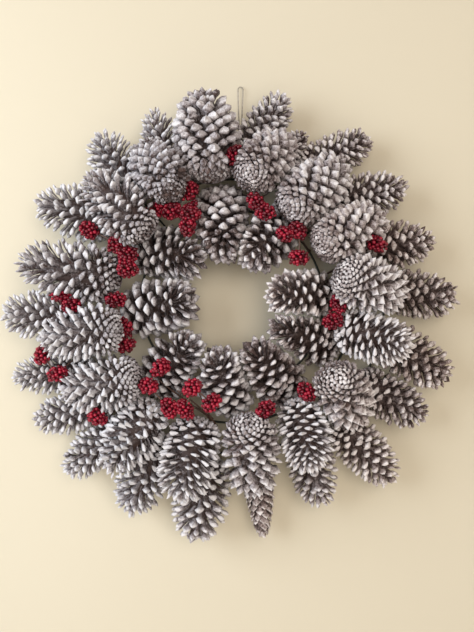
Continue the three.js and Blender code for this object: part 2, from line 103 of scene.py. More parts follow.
# The hanging loop: radius of its wire and of its bend, the bend's centre, the bearing of its eye,
# how far its legs stand from the middle at their feet, and the steps of its bend and its eye
LOOP_WIRE = 0.6
LOOP_BEND = 3.4
LOOP_X = 11
LOOP_Z = 278
LOOP_BEARING = 3
LOOP_FOOT = 0.65
BEND_STEPS = 16
EYE_STEPS = 20

# Radii of a spray's knot and of a clump of berries, and the gap between pieces that bear
KNOT = 2.4
CLUMP = 11.5
CLEARANCE = 0.3

# About how far the wreath reaches from its centre
WREATH_RADIUS = 250

# The wreath's centre and back plane in the frame
ORIGIN = np.array([-LOOP_X, FRAME_DEPTH, -(LOOP_Z + LOOP_BEND - LOOP_WIRE)])


def on_wreath(bearing, radius, depth):
    """A place in wreath coordinates: right, backward and up from the middle of the hole."""
    a = math.radians(bearing)
    return np.array([radius * math.sin(a), -depth, radius * math.cos(a)])


# Meshes

def new_object(name, verts, faces, material, smooth=True, attributes=None):
    """A mesh object from millimetre points in wreath coordinates."""
    mesh = bpy.data.meshes.new(name)
    mesh.from_pydata(((np.asarray(verts) + ORIGIN) * MM).tolist(), [], faces)
    if isinstance(smooth, bool):
        smooth = [smooth] * len(mesh.polygons)
    mesh.polygons.foreach_set("use_smooth", smooth)
    for key, values in (attributes or {}).items():
        mesh.attributes.new(key, "FLOAT", "POINT").data.foreach_set(
            "value", np.asarray(values, np.float32)
        )
    mesh.materials.append(material)
    mesh.update()
    obj = bpy.data.objects.new(name, mesh)
    bpy.context.scene.collection.objects.link(obj)
    return obj


def ring_faces(rings, sides, closed=False):
    """Faces between rings of points, with a flat cap at each end unless they form a circle."""
    faces = []
    for i in range(rings if closed else rings - 1):
        j = (i + 1) % rings
        for k in range(sides):
            m = (k + 1) % sides
            faces.append((i * sides + k, i * sides + m, j * sides + m, j * sides + k))
    if not closed:
        faces.append(tuple(range(sides - 1, -1, -1)))
        faces.append(tuple((rings - 1) * sides + k for k in range(sides)))
    return faces


def tube(points, radius, sides=8, closed=False):
    """Points and faces of a round tube along points, with one radius or one for each point."""
    pts = np.asarray(points, float)
    if closed:
        tangents = np.roll(pts, -1, 0) - np.roll(pts, 1, 0)
    else:
        tangents = np.gradient(pts, axis=0)
    tangents /= np.linalg.norm(tangents, axis=1)[:, None]
    # A direction that no part of the tube runs along
    up = np.array([0.0, 1.0, 0.0])
    if abs(tangents @ up).max() > 0.95:
        up = np.array([0.31, 0.2, 0.93])
    across = np.cross(tangents, up)
    across /= np.linalg.norm(across, axis=1)[:, None]
    over = np.cross(tangents, across)
    angle = np.linspace(0, 2 * math.pi, sides, endpoint=False)
    radii = np.broadcast_to(np.asarray(radius, float), (len(pts),))
    ring = (
        across[:, None] * np.cos(angle)[None, :, None]
        + over[:, None] * np.sin(angle)[None, :, None]
    )
    verts = (pts[:, None] + ring * radii[:, None, None]).reshape(-1, 3)
    return verts, ring_faces(len(pts), sides, closed)


def joined(parts):
    """One list of points and faces from several."""
    verts, faces, start = [], [], 0
    for v, f in parts:
        verts.append(v)
        faces += [tuple(i + start for i in face) for face in f]
        start += len(v)
    return np.concatenate(verts), faces


# Cones: their place, their outline, and the planes that they share with their neighbours

# Where along its length a cone is widest, and the two powers of its curve toward the tip
WIDEST_AT = 0.36
AHEAD_POWER = 3.2
TIP_POWER = 0.45


def outline(t):
    """Half width at a share of the length, as a share of the greatest."""
    t = np.asarray(t, float)
    back = np.clip((WIDEST_AT - t) / WIDEST_AT, 0, 1)
    ahead = np.clip((t - WIDEST_AT) / (1 - WIDEST_AT), 0, 1)
    return np.where(t < WIDEST_AT, np.sqrt(1 - back**2), (1 - ahead**AHEAD_POWER) ** TIP_POWER)


SAMPLES = np.array([0, 0.04, 0.1, 0.18, 0.28, 0.4, 0.52, 0.64, 0.76, 0.88, 0.96, 1])
SAMPLE_WIDTHS = outline(SAMPLES)

# Sharing of space, as in part.mjs: how near the middles of two cones must be, how far apart
# their outlines may be, the search for the plane's direction, and how much room between the
# bare axes is enough and what share of it each axis keeps
NEIGHBOURS_WITHIN = 150
FARTHEST_APART = 4
FIRST_STEP, LAST_STEP, STEP_SHRINKS = 0.6, 0.01, 0.7
ENOUGH_ROOM = 12
SHARE_KEPT = 0.2


class Cone:
    """A cone's place, its own axes, and the planes that it must stay behind."""

    def __init__(self, name, row, layer):
        bearing, radius, depth, swing, tilt, length, width = row
        heading, lift = math.radians(bearing + swing), math.radians(tilt)
        self.name = name
        self.layer = layer
        self.axis = np.array([
            math.sin(heading) * math.cos(lift), -math.sin(lift), math.cos(heading) * math.cos(lift)
        ])
        self.across = np.cross([0.0, 1.0, 0.0], self.axis)
        self.across /= np.linalg.norm(self.across)
        self.over = np.cross(self.axis, self.across)
        self.length = float(length)
        self.half = width / 2
        self.middle = on_wreath(bearing, radius, depth)
        self.base = self.middle - self.axis * length / 2
        self.limits = [(np.array([0.0, 1.0, 0.0]), -FRONT_OF_FRAME)]

    def reach(self, direction):
        """How far the cone, and its bare axis, go in a direction."""
        slope = self.axis @ direction
        side = math.sqrt(max(0.0, 1 - slope * slope))
        start = self.base @ direction
        whole = (slope * self.length * SAMPLES + side * self.half * SAMPLE_WIDTHS).max()
        return start + whole, start + max(0.0, slope * self.length)


def overlap(first, second, direction):
    """How deep two cones overlap in a direction, the room between their axes, their reaches."""
    near, near_bare = first.reach(direction)
    far, far_bare = second.reach(-direction)
    return near + far, -far_bare - near_bare, near, near_bare, far, far_bare


def share_space(cones):
    """Planes between neighbours, as in part.mjs."""
    for i, first in enumerate(cones):
        for second in cones[i + 1:]:
            if np.linalg.norm(first.middle - second.middle) > NEIGHBOURS_WITHIN:
                continue
            direction = second.middle - first.middle
            direction /= np.linalg.norm(direction)
            best = overlap(first, second, direction)
            step = FIRST_STEP
            while step > LAST_STEP:
                sideways = np.cross([1.0, 0, 0], direction)
                sideways /= np.linalg.norm(sideways)
                upward = np.cross(sideways, direction)
                for a, b in ((1, 0), (-1, 0), (0, 1), (0, -1)):
                    d = direction + sideways * a * step + upward * b * step
                    d /= np.linalg.norm(d)
                    tried = overlap(first, second, d)
                    gain = min(tried[1], ENOUGH_ROOM) - tried[0]
                    if gain > min(best[1], ENOUGH_ROOM) - best[0]:
                        best, direction = tried, d
                step *= STEP_SHRINKS
            depth, room, near, near_bare, far, far_bare = best
            if depth < -FARTHEST_APART:
                continue
            kept = room * SHARE_KEPT
            plane = min(max((near - far) / 2, near_bare + kept), -far_bare - kept)
            first.limits.append((direction, plane))
            second.limits.append((-direction, -plane))


# A scale: eight points round, at steps from its root to the rim of its blunt end. Columns: share
# along, half width, thickness toward the cone's tip, thickness toward its base, how far its
# sides are set back to round its end, paint
SCALE_STEPS = np.array([
    [0.00, 0.15, 0.05, 0.05, 0.00, 0.02],
    [0.45, 0.20, 0.07, 0.09, 0.00, 0.22],
    [0.76, 0.28, 0.09, 0.13, 0.05, 0.34],
    [0.91, 0.50, 0.14, 0.27, 0.22, 0.62],
    [0.98, 0.40, 0.11, 0.21, 0.27, 1.00],
])
AROUND = np.array([
    [1.0, 0.0], [0.66, 0.74], [0.0, 1.0], [-0.66, 0.74],
    [-1.0, 0.0], [-0.58, -0.60], [0.0, -1.0], [0.58, -0.60],
])
END_POINT = (1.035, 0.0, -0.10, 0.0, 0.0, 1.05)

# How white the side toward the tip is behind the blunt end, where that end begins, and how far
# a scale bows
HIDDEN_SIDE = 0.8
END_FROM = 0.9
SCALE_BOW = 0.20


def scale_template():
    """Points as (along, across, thickness, set-back, sideness), their paint and faces."""
    pts, paint, faces = [], [], []
    for along, half, up, down, back, white in SCALE_STEPS:
        for x, y in AROUND:
            pts.append((along, x * half, y * (up if y > 0 else down), back, abs(x)))
            paint.append(white * (HIDDEN_SIDE if y > 0 and along < END_FROM else 1.0))
    rings, sides = len(SCALE_STEPS), len(AROUND)
    for n in range(rings - 1):
        for k in range(sides):
            m = (k + 1) % sides
            faces.append((n * sides + k, (n + 1) * sides + k, (n + 1) * sides + m, n * sides + m))
    *place, white = END_POINT
    end = len(pts)
    pts.append(tuple(place))
    paint.append(white)
    for k in range(sides):
        faces.append(((rings - 1) * sides + k, end, (rings - 1) * sides + (k + 1) % sides))
    return np.array(pts), np.array(paint), faces


TEMPLATE, TEMPLATE_PAINT, TEMPLATE_FACES = scale_template()

# Looks: number of scales, whiteness, how steeply the scales stand, their width, how many of a
# scale's spans are smooth, how pointed its end is, width of the core, how much narrower the
# scales are toward the cone's tip, how nearly their ends touch, how unevenly they stand
LOOKS = {
    "outer": (185, 0.87, 0.28, 0.92, 4, 0.1, 1.0, 0.05, 0.25, 1.2),
    "inner": (160, 0.755, 0.42, 0.89, 5, 0.05, 0.75, 0.0, 0.1, 1.1),
    "keen": (165, 0.76, 0.40, 0.84, 4, 0.35, 0.8, 0.05, 0.0, 1.2),
    "knobbed": (190, 0.73, 0.45, 1.00, 5, 0.0, 0.8, 0.0, 0.5, 1.0),
    "front": (228, 0.84, 0.12, 0.94, 3, 1.0, 1.0, 0.1, 0.0, 1.0),
    "fanned": (225, 0.82, 0.22, 0.92, 4, 0.4, 1.0, 0.3, 0.1, 2.0),
    "ragged": (205, 0.84, 0.25, 0.98, 3, 1.0, 1.0, 0.1, 0.0, 2.2),
    "spread": (205, 0.82, 0.22, 1.00, 4, 0.6, 1.0, 0.28, 0.0, 1.6),
    "slender": (205, 0.88, 0.30, 0.90, 4, 0.15, 1.0, 0.2, 0.2, 1.6),
    "rounded": (285, 0.70, 0.10, 1.15, 4, 0.3, 1.0, 0.0, 0.8, 1.3),
    "plump": (235, 0.73, 0.10, 1.12, 4, 0.3, 1.0, 0.0, 0.6, 1.2),
    "closed": (180, 0.88, 0.00, 1.25, 5, 0.3, 1.0, 0.0, -0.4, 0.5),
}

# Cones with another look than their layer's
OTHER_LOOKS = {
    **{f"outer_cone_{n:02d}": "slender" for n in (1, 2, 3, 4, 5, 8)},
    **{f"front_cone_{n:02d}": "rounded" for n in (1, 2)},
    **{f"front_cone_{n:02d}": "fanned" for n in (3, 4)},
    **{f"front_cone_{n:02d}": "plump" for n in (14, 15, 16)},
    **{f"front_cone_{n:02d}": "spread" for n in (9, 11)},
    "front_cone_07": "ragged",
    **{f"inner_cone_{n:02d}": "keen" for n in (2, 7, 8)},
    "inner_cone_01": "knobbed",
    "outer_cone_10": "closed",
}

# Cones that are whiter, or less white, than the others of their layer
WHITER = {
    "outer_cone_03": 0.15, "outer_cone_09": 0.10, "outer_cone_12": 0.20, "outer_cone_14": -0.10,
    "inner_cone_01": -0.15, "inner_cone_06": -0.20, "inner_cone_08": 0.15, "front_cone_12": 0.20,
}

# Painted shade where the light is dimmer: how much less white a layer's cones are at the right edge
# and at the top than in the middle (for the front cones the right-edge share is negative, which
# paints light there)
PAINTED_SHADE_AT_EDGES = {"outer": (0.20, 0), "inner": (0.13, 0), "front": (-0.08, 0.22)}

# How tan a layer's cones are in the middle, and how much more so at the right edge; that rise is a
# painted warm shade, away from the cool light from the left
WARMTH = {"outer": (0.45, 0.75), "inner": (0.35, 0.45), "front": (0.30, 0.40)}

# Paint on the front cones: more past the middle, less at the base, there with more to the right
FRONT_MORE = 0.14
FRONT_BASE_LESS = 0.17
FRONT_BASE_RIGHT = 0.13

# Paint that lies all over a scale, its root too, on the outer and the front cones
OUTER_LIFT = 0.05
FRONT_LIFT = 0.06

# Each scale's own tone, how much whiter it is the more it points forward, and the limits of both
# with its cone's whiteness
TONES = (-0.32, 0.14)
FORWARD_WHITER = 0.12
PAINT_LIMITS = (0.1, 1.15)

# Scales at a cone's tip that caught little paint: from where, how many, how much less
BARE_FROM = 0.8
BARE_SHARE = 0.25
BARE_LESS = 0.35

# How loosely the scales' ends stand, and more so at the cone's tip, and how far that moves them
# inward and back
LOOSE, LOOSER_AT_TIP = 0.02, 0.03
INWARD, BACKWARD = 1.5, 0.5

# How much cones and scales differ from each other
WHITE_SPREAD = 0.04
WARMTH_SPREAD = 0.15
TURN_SPREAD = 0.05
TWIST_SPREAD = 0.14
WIDTH_SPREAD = 0.07
THICKNESS_SPREAD = 0.10

# Along a cone, at these shares of its length: how far back a scale's root lies and how wide the
# core is there, the scales' width and thickness, and the width of the solid core
DROPS = ([0, 0.1, 0.3, 0.5, 0.7, 0.85, 1.0], [-0.07, -0.01, 0.12, 0.21, 0.27, 0.31, 0.34])
ROOT_WIDTHS = ([0, 0.12, 0.3, 0.6, 1.0], [0.34, 0.30, 0.17, 0.12, 0.05])
BREADTHS = ([0, 0.1, 0.3, 0.7, 0.9, 1.0], [1.18, 1.14, 1.0, 1.0, 0.95, 0.85])
BULKS = ([0, 0.12, 0.3, 0.8, 1.0], [1.9, 1.75, 1.05, 0.95, 1.1])
CORE_WIDTHS = ([0, 0.12, 0.4, 0.75], [0.62, 0.54, 0.46, 0.30])

# How much nearer to its end an open scale's root lies, from where on a packed look counts, and
# how much farther a pointed end's sides are set back
OPEN_NEARER = 0.45
PACKED_FROM = 0.1
POINTED_SETBACK = 0.5

# The outline is followed in this many steps, as no steeper and no thinner than this
OUTLINE_STEPS = 400
STEEPEST = 6
THINNEST = 0.12
GOLDEN_ANGLE = math.radians(137.508)

# The closed cone: how much slimmer it is at its tip, how far back its scales' roots lie, and how
# wide the core is there
CLOSED_SLIMMER = 0.32
CLOSED_DROP = 0.22
CLOSED_ROOT = 0.8

# The greatest width of the core under a scale's end, and how much longer the inner cones' scales
# are toward the tip
CORE_UNDER_END = 0.8
INNER_LONGER = 0.11

# Near a neighbour's space: the room that a scale keeps, as a share of its size, how far it
# closes at a time and how often, how closed it may be, the least room, the shortest a scale gets
EDGE_ROOM = 0.1
CLOSING_STEP = 0.12
CLOSINGS = 3
LEAST_LEAN = 0.25
LEAST_ROOM = 0.01
SHORTEST = 0.3

# Near a berry clump: the room that a scale keeps, how it is shortened and how often, and the
# room without which it is left out
CLUMP_ROOM = 2.0
SHORTER = 0.82
SHORTENINGS = 5
LEAST_CLUMP_ROOM = 0.5

# The core: where it begins and ends, its rings and sides, where its look's width begins to
# count, and its shade
CORE_FROM, CORE_TO = 0.05, 0.74
CORE_RINGS, CORE_SIDES = 14, 12
CORE_WIDTH_FROM = 0.15
CORE_SHADE = 0.3


def smooth_between(low, high, x):
    """0 up to low, 1 from high on, and a soft step between them."""
    s = np.clip((x - low) / (high - low), 0, 1)
    return s * s * (3 - 2 * s)


def scale_size(t):
    """Size of the scales at a share of the length, as a share of the largest: small at the
    base, largest in the middle, a little smaller at the tip."""
    grown = 0.40 + 0.60 * smooth_between(0.02, 0.34, t)
    return grown * (1 - 0.28 * smooth_between(0.62, 1.0, t))


def scale_root(t, openness):
    """Where a scale that ends at a share of the length springs from: share and core width."""
    drop = np.interp(t, *DROPS)
    nearer = np.where(drop > 0, 1 - OPEN_NEARER * openness, 1)
    return t - drop * nearer, np.interp(t, *ROOT_WIDTHS)


def core_mesh(cone, core_width):
    """Points and faces of the core that a cone's scales stand on."""
    t = np.linspace(CORE_FROM, CORE_TO, CORE_RINGS)
    radius = outline(t) * cone.half * np.interp(t, *CORE_WIDTHS)
    radius *= np.where(t > CORE_WIDTH_FROM, core_width, 1)
    angle = np.linspace(0, 2 * math.pi, CORE_SIDES, endpoint=False)
    circle = np.cos(angle)[:, None] * cone.across + np.sin(angle)[:, None] * cone.over
    along = cone.base + cone.axis * (t * cone.length)[:, None, None]
    verts = (along + circle[None] * radius[:, None, None]).reshape(-1, 3)
    return verts, ring_faces(CORE_RINGS, CORE_SIDES)


def fine_cone(cone, clumps, warm):
    """One cone: its scales, laid on by the golden angle, and its core."""
    look = OTHER_LOOKS.get(cone.name, cone.layer)
    count, white, openness, breadth, smooth_spans, point, core_width, slender, packed, uneven = (
        LOOKS[look]
    )
    white += rng.normal(0, WHITE_SPREAD) + WHITER.get(cone.name, 0)
    # Painted shade: less white toward the right edge and the top
    rightward, upward = PAINTED_SHADE_AT_EDGES[cone.layer]
    white -= (rightward * cone.middle[0] + upward * max(cone.middle[2], 0)) / WREATH_RADIUS

    # Where the scales end: evenly over the cone's surface, closer together where they are small
    length, half = cone.length, cone.half
    t = np.linspace(0.0, 1.0, OUTLINE_STEPS)
    r = outline(t) * half
    path = np.minimum(np.hypot(np.gradient(r, t), length), length * STEEPEST)
    density = 2 * math.pi * np.maximum(r, THINNEST * half) * path / scale_size(t) ** 2
    total = np.concatenate([[0], np.cumsum((density[1:] + density[:-1]) / 2 * np.diff(t))])
    order = np.arange(count)
    ends = np.interp((order + 0.5) / count * total[-1], total, t)
    size = math.sqrt(total[-1] / count) * scale_size(ends)
    phi = order * GOLDEN_ANGLE + rng.uniform(0, 2 * math.pi)
    phi = phi + rng.normal(0, TURN_SPREAD * uneven, count) * smooth_between(0.0, 0.3, ends)
    loose = (LOOSE + LOOSER_AT_TIP * smooth_between(0.55, 0.95, ends)) * uneven
    end_r = outline(ends) * half * (1 - np.abs(rng.normal(0, INWARD * loose)))
    end_z = ends * length * (1 - np.abs(rng.normal(0, BACKWARD * loose)))

    # Where they spring from the core, how far they lean outward and how long they are
    root_share, root_width = scale_root(ends, openness)
    if look == "closed":
        end_r = outline(ends) * half * (1 - CLOSED_SLIMMER * smooth_between(0.4, 1.0, ends))
        root_share = ends - CLOSED_DROP
        root_width = np.full(count, CLOSED_ROOT)
    core_r = np.minimum(root_width * half, CORE_UNDER_END * end_r)
    drop = end_z - root_share * length
    lean = np.arctan2(end_r - core_r, drop)
    reach = np.hypot(end_r - core_r, drop)
    if cone.layer == "inner":
        reach *= 1 + INNER_LONGER * smooth_between(0.5, 0.85, ends)
    radial = np.cos(phi)[:, None] * cone.across + np.sin(phi)[:, None] * cone.over
    side = -np.sin(phi)[:, None] * cone.across + np.cos(phi)[:, None] * cone.over
    root = cone.base + radial * core_r[:, None] + cone.axis * (root_share * length)[:, None]

    def headings():
        return radial * np.sin(lean)[:, None] + cone.axis * np.cos(lean)[:, None]

    def tips():
        return root + headings() * reach[:, None]

    # A scale that would cross into a neighbour's space closes up, and is shorter if it must be
    normals = np.array([n for n, _ in cone.limits])
    offsets = np.array([o for _, o in cone.limits])
    for _ in range(CLOSINGS):
        past = (tips() @ normals.T - offsets).max(1) > -EDGE_ROOM * size
        lean = np.where(past & (lean > LEAST_LEAN), lean - CLOSING_STEP, lean)
    wanted = (tips() - root) @ normals.T
    room = np.maximum(offsets - root @ normals.T - EDGE_ROOM * size[:, None], LEAST_ROOM)
    allowed = np.where(wanted > room, room / np.maximum(wanted, LEAST_ROOM), 1)
    reach = reach * np.clip(allowed.min(1), SHORTEST, 1)

    # One that would reach into a berry clump is shorter too, or left out
    keep = np.ones(count, bool)
    for centre in clumps:
        for _ in range(SHORTENINGS):
            near = np.linalg.norm(tips() - centre, axis=1) < CLUMP + CLUMP_ROOM
            reach = np.where(near, reach * SHORTER, reach)
        keep &= np.linalg.norm(tips() - centre, axis=1) > CLUMP + LEAST_CLUMP_ROOM
    root, radial, side, size, reach, lean, ends = (
        values[keep] for values in (root, radial, side, size, reach, lean, ends)
    )
    kept = len(root)

    # Each scale's own directions, twisted a little, and its width and thickness
    along = headings()
    up = np.cross(along, side)
    up *= np.where(up @ cone.axis < 0, -1.0, 1.0)[:, None]
    twist = rng.normal(0, TWIST_SPREAD * uneven, kept) * smooth_between(0.0, 0.3, ends)
    side, up = (
        side * np.cos(twist)[:, None] + up * np.sin(twist)[:, None],
        up * np.cos(twist)[:, None] - side * np.sin(twist)[:, None],
    )
    fill = np.interp(ends, *BREADTHS) * (1 - slender * smooth_between(0.35, 0.85, ends))
    bulk = np.interp(ends, *BULKS) + packed * (ends > PACKED_FROM)
    wide = size * breadth * fill * (1 + rng.normal(0, WIDTH_SPREAD, kept))
    thick = wide * bulk * (1 + rng.normal(0, THICKNESS_SPREAD, kept))

    # The template, once for each scale
    share, across, height, back, sideness = TEMPLATE.T
    setback = back * sideness ** (2 - point) * (1 + POINTED_SETBACK * point)
    forward = share * reach[:, None] - setback * wide[:, None]
    sideways = across * wide[:, None]
    upward = height * thick[:, None] + SCALE_BOW * reach[:, None] * (share * (1 - share))
    verts = (
        root[:, None] + along[:, None] * forward[:, :, None]
        + side[:, None] * sideways[:, :, None] + up[:, None] * upward[:, :, None]
    ).reshape(-1, 3)
    per = len(TEMPLATE)
    faces = [tuple(i + n * per for i in face) for n in range(kept) for face in TEMPLATE_FACES]
    smooth = [n < len(AROUND) * smooth_spans for n in range(len(TEMPLATE_FACES))] * kept

    # Its paint
    tone = rng.uniform(*TONES, kept) - FORWARD_WHITER * along[:, 1]
    lift = np.zeros(kept)
    if cone.layer == "front":
        past_base = smooth_between(0.25, 0.5, ends)
        at_base = 1 - smooth_between(0.12, 0.35, ends)
        tone += FRONT_MORE * past_base
        tone -= (FRONT_BASE_LESS - FRONT_BASE_RIGHT * cone.middle[0] / WREATH_RADIUS) * at_base
        lift += FRONT_LIFT * past_base
    elif cone.layer == "outer":
        lift += OUTER_LIFT
    tone -= BARE_LESS * (ends > BARE_FROM) * (rng.uniform(0, 1, kept) < BARE_SHARE)
    paint = TEMPLATE_PAINT * np.clip(white + tone, *PAINT_LIMITS)[:, None] + lift[:, None]
    shade = np.repeat(rng.uniform(0, 1, kept), per)

    # The core, without paint
    core = core_mesh(cone, core_width)
    core_points = len(core[0])
    verts, faces = joined([(verts, faces), core])
    smooth += [True] * (len(faces) - len(smooth))
    obj = new_object("fine_" + cone.name, verts, faces, CONE, smooth, {
        "paint": np.concatenate([paint.ravel(), np.zeros(core_points)]),
        "shade": np.concatenate([shade, np.full(core_points, CORE_SHADE)]),
        "warmth": np.full(len(verts), warm),
    })
    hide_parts(cone.name)
    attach(obj, "root")


# Materials

def new_material(name):
    made = bpy.data.materials.new(name)
    made.use_nodes = True
    return made, made.node_tree, made.node_tree.nodes["Principled BSDF"]


def node(tree, kind, **settings):
    made = tree.nodes.new(kind)
    for key, value in settings.items():
        setattr(made, key, value)
    return made


def noise(tree, scale, detail=3.0):
    """Even noise in the object's own coordinates; scale counts its waves to a metre."""
    place = node(tree, "ShaderNodeTexCoord")
    made = node(tree, "ShaderNodeTexNoise")
    made.inputs["Scale"].default_value = scale
    made.inputs["Detail"].default_value = detail
    made.inputs["Roughness"].default_value = 0.55
    tree.links.new(place.outputs["Object"], made.inputs["Vector"])
    return made.outputs["Fac"]


def attribute(tree, name):
    return node(tree, "ShaderNodeAttribute", attribute_name=name).outputs["Fac"]


def math_node(tree, operation, a, b):
    made = node(tree, "ShaderNodeMath", operation=operation)
    for socket, value in zip(made.inputs, (a, b)):
        if isinstance(value, (int, float)):
            socket.default_value = value
        else:
            tree.links.new(value, socket)
    return made.outputs[0]


def ramp(tree, factor, stops):
    """Colours between stops, each a place and a colour."""
    made = node(tree, "ShaderNodeValToRGB")
    tree.links.new(factor, made.inputs["Fac"])
    elements = made.color_ramp.elements
    while len(elements) < len(stops):
        elements.new(0.5)
    for element, (place, colour) in zip(elements, stops):
        element.position = place
        element.color = (*colour, 1)
    return made.outputs["Color"]


def mixed(tree, factor, a, b):
    made = node(tree, "ShaderNodeMix", data_type="RGBA")
    tree.links.new(factor, made.inputs["Factor"])
    tree.links.new(a, made.inputs["A"])
    tree.links.new(b, made.inputs["B"])
    return made.outputs["Result"]


def bump(tree, shader, height, strength, distance):
    made = node(tree, "ShaderNodeBump")
    made.inputs["Strength"].default_value = strength
    made.inputs["Distance"].default_value = distance
    tree.links.new(height, made.inputs["Height"])
    tree.links.new(made.outputs["Normal"], shader.inputs["Normal"])


def cone_material():
    """Dark wood under white paint that lies in patches, cool grey or tan by the cone's warmth."""
    made, tree, shader = new_material("whitened_cone")
    paint, shade, warmth = (attribute(tree, n) for n in ("paint", "shade", "warmth"))
    broad, patchy, fine = noise(tree, 80), noise(tree, 260), noise(tree, 800, 4)
    coverage = paint
    for wave, depth in ((broad, 0.9), (patchy, 1.3), (fine, 1.3)):
        swing = math_node(tree, "MULTIPLY", math_node(tree, "SUBTRACT", wave, 0.5), depth)
        coverage = math_node(tree, "ADD", coverage, swing)
    wood = ramp(tree, math_node(tree, "ADD", math_node(tree, "MULTIPLY", shade, 0.5), fine), [
        (0.35, (0.018, 0.011, 0.010)), (0.75, (0.055, 0.033, 0.029)), (1.0, (0.11, 0.070, 0.062)),
    ])
    cool = ramp(tree, coverage, [
        (0.10, (0.123, 0.104, 0.109)), (0.36, (0.247, 0.222, 0.235)),
        (0.60, (0.344, 0.322, 0.338)), (0.95, (0.552, 0.540, 0.562)),
    ])
    tan = ramp(tree, coverage, [
        (0.10, (0.100, 0.064, 0.057)), (0.36, (0.200, 0.148, 0.136)),
        (0.60, (0.34, 0.282, 0.268)), (0.95, (0.64, 0.590, 0.580)),
    ])
    mask = ramp(tree, coverage, [(0.07, (0, 0, 0)), (0.32, (1, 1, 1))])
    colour = mixed(tree, mask, wood, mixed(tree, warmth, cool, tan))
    tree.links.new(colour, shader.inputs["Base Color"])
    rough = ramp(tree, fine, [(0.3, (0.55,) * 3), (0.7, (0.85,) * 3)])
    tree.links.new(rough, shader.inputs["Roughness"])
    shader.inputs["Specular IOR Level"].default_value = 0.35
    bump(tree, shader, fine, 0.5, 0.0006)
    return made


def berry_material():
    """Crimson, lighter by the berry's shade: random, plus painted light on some sprays and painted
    shade on each clump's inner berries; with small spots.
    """
    made, tree, shader = new_material("berry")
    shade = math_node(tree, "MULTIPLY", attribute(tree, "shade"), 0.7)
    spots = noise(tree, 600, 2)
    tone = math_node(tree, "ADD", shade, math_node(tree, "MULTIPLY", spots, 0.4))
    colour = ramp(tree, tone, [
        (0.15, (0.042, 0.001, 0.004)), (0.55, (0.145, 0.0015, 0.011)),
        (0.95, (0.30, 0.005, 0.024)),
    ])
    tree.links.new(colour, shader.inputs["Base Color"])
    rough = ramp(tree, spots, [(0.3, (0.26,) * 3), (0.7, (0.42,) * 3)])
    tree.links.new(rough, shader.inputs["Roughness"])
    shader.inputs["Specular IOR Level"].default_value = 0.4
    bump(tree, shader, spots, 0.12, 0.0004)
    return made


def wire_material(name, dark, light, metallic, roughness):
    made, tree, shader = new_material(name)
    worn = noise(tree, 400, 4)
    tree.links.new(ramp(tree, worn, [(0.35, dark), (0.7, light)]), shader.inputs["Base Color"])
    rough = ramp(tree, worn, [(0.3, (roughness,) * 3), (0.8, (roughness + 0.2,) * 3)])
    tree.links.new(rough, shader.inputs["Roughness"])
    shader.inputs["Metallic"].default_value = metallic
    bump(tree, shader, worn, 0.2, 0.0002)
    return made


def stage_material(name, dark, light, one_sided):
    """A matt surface, seen from its front only if one-sided."""
    made, tree, shader = new_material(name)
    cloud = noise(tree, 1.5, 2)
    grain = noise(tree, 220, 3)
    tree.links.new(ramp(tree, cloud, [(0.3, dark), (0.7, light)]), shader.inputs["Base Color"])
    shader.inputs["Roughness"].default_value = 0.9
    bump(tree, shader, grain, 0.08, 0.0005)
    if one_sided:
        side = node(tree, "ShaderNodeNewGeometry").outputs["Backfacing"]
        clear = node(tree, "ShaderNodeBsdfTransparent").outputs["BSDF"]
        mix = node(tree, "ShaderNodeMixShader")
        tree.links.new(side, mix.inputs["Fac"])
        tree.links.new(shader.outputs["BSDF"], mix.inputs[1])
        tree.links.new(clear, mix.inputs[2])
        tree.links.new(mix.outputs["Shader"], tree.nodes["Material Output"].inputs["Surface"])
    return made


CONE = cone_material()
BERRY = berry_material()
STEM = wire_material("stem", (0.045, 0.022, 0.015), (0.12, 0.065, 0.045), 0.0, 0.6)
FRAME = wire_material("frame_wire", (0.016, 0.020, 0.015), (0.045, 0.052, 0.040), 0.3, 0.4)
LOOP = wire_material("loop_wire", (0.20, 0.17, 0.14), (0.42, 0.38, 0.33), 0.7, 0.35)

# Cones

cones = []
for layer, rows in (("outer", OUTER_CONES), ("inner", INNER_CONES), ("front", FRONT_CONES)):
    for index, row in enumerate(rows):
        cones.append(Cone(f"{layer}_cone_{index + 1:02d}", row, layer))
share_space(cones)

clump_places = [on_wreath(*clump) for spray in BERRY_SPRAYS for clump in spray]
for cone in cones:
    near = [c for c in clump_places if np.linalg.norm(c - cone.middle) < cone.length]
    # Tan by layer, more so toward the right edge as painted warm shade, and differing at random
    middling, slope = WARMTH[cone.layer]
    warm = middling + slope * cone.middle[0] / WREATH_RADIUS + rng.normal(0, WARMTH_SPREAD)
    fine_cone(cone, near, float(np.clip(warm, 0, 1)))

# Berry sprays


def ball():
    """Points and faces of a round berry of radius 1: an icosahedron with each face in four."""
    gold = (1 + 5**0.5) / 2
    verts = [
        (-1, gold, 0), (1, gold, 0), (-1, -gold, 0), (1, -gold, 0), (0, -1, gold), (0, 1, gold),
        (0, -1, -gold), (0, 1, -gold), (gold, 0, -1), (gold, 0, 1), (-gold, 0, -1), (-gold, 0, 1),
    ]
    faces = [
        (0, 11, 5), (0, 5, 1), (0, 1, 7), (0, 7, 10), (0, 10, 11), (1, 5, 9), (5, 11, 4),
        (11, 10, 2), (10, 7, 6), (7, 1, 8), (3, 9, 4), (3, 4, 2), (3, 2, 6), (3, 6, 8), (3, 8, 9),
        (4, 9, 5), (2, 4, 11), (6, 2, 10), (8, 6, 7), (9, 8, 1),
    ]
    verts = [np.array(v, float) / np.linalg.norm(v) for v in verts]
    halves, finer = {}, []

    def half(a, b):
        key = (min(a, b), max(a, b))
        if key not in halves:
            middle = verts[a] + verts[b]
            verts.append(middle / np.linalg.norm(middle))
            halves[key] = len(verts) - 1
        return halves[key]

    for a, b, c in faces:
        ab, bc, ca = half(a, b), half(b, c), half(c, a)
        finer += [(a, ab, ca), (b, bc, ab), (c, ca, bc), (ab, bc, ca)]
    return np.array(verts), finer


BALL, BALL_FACES = ball()

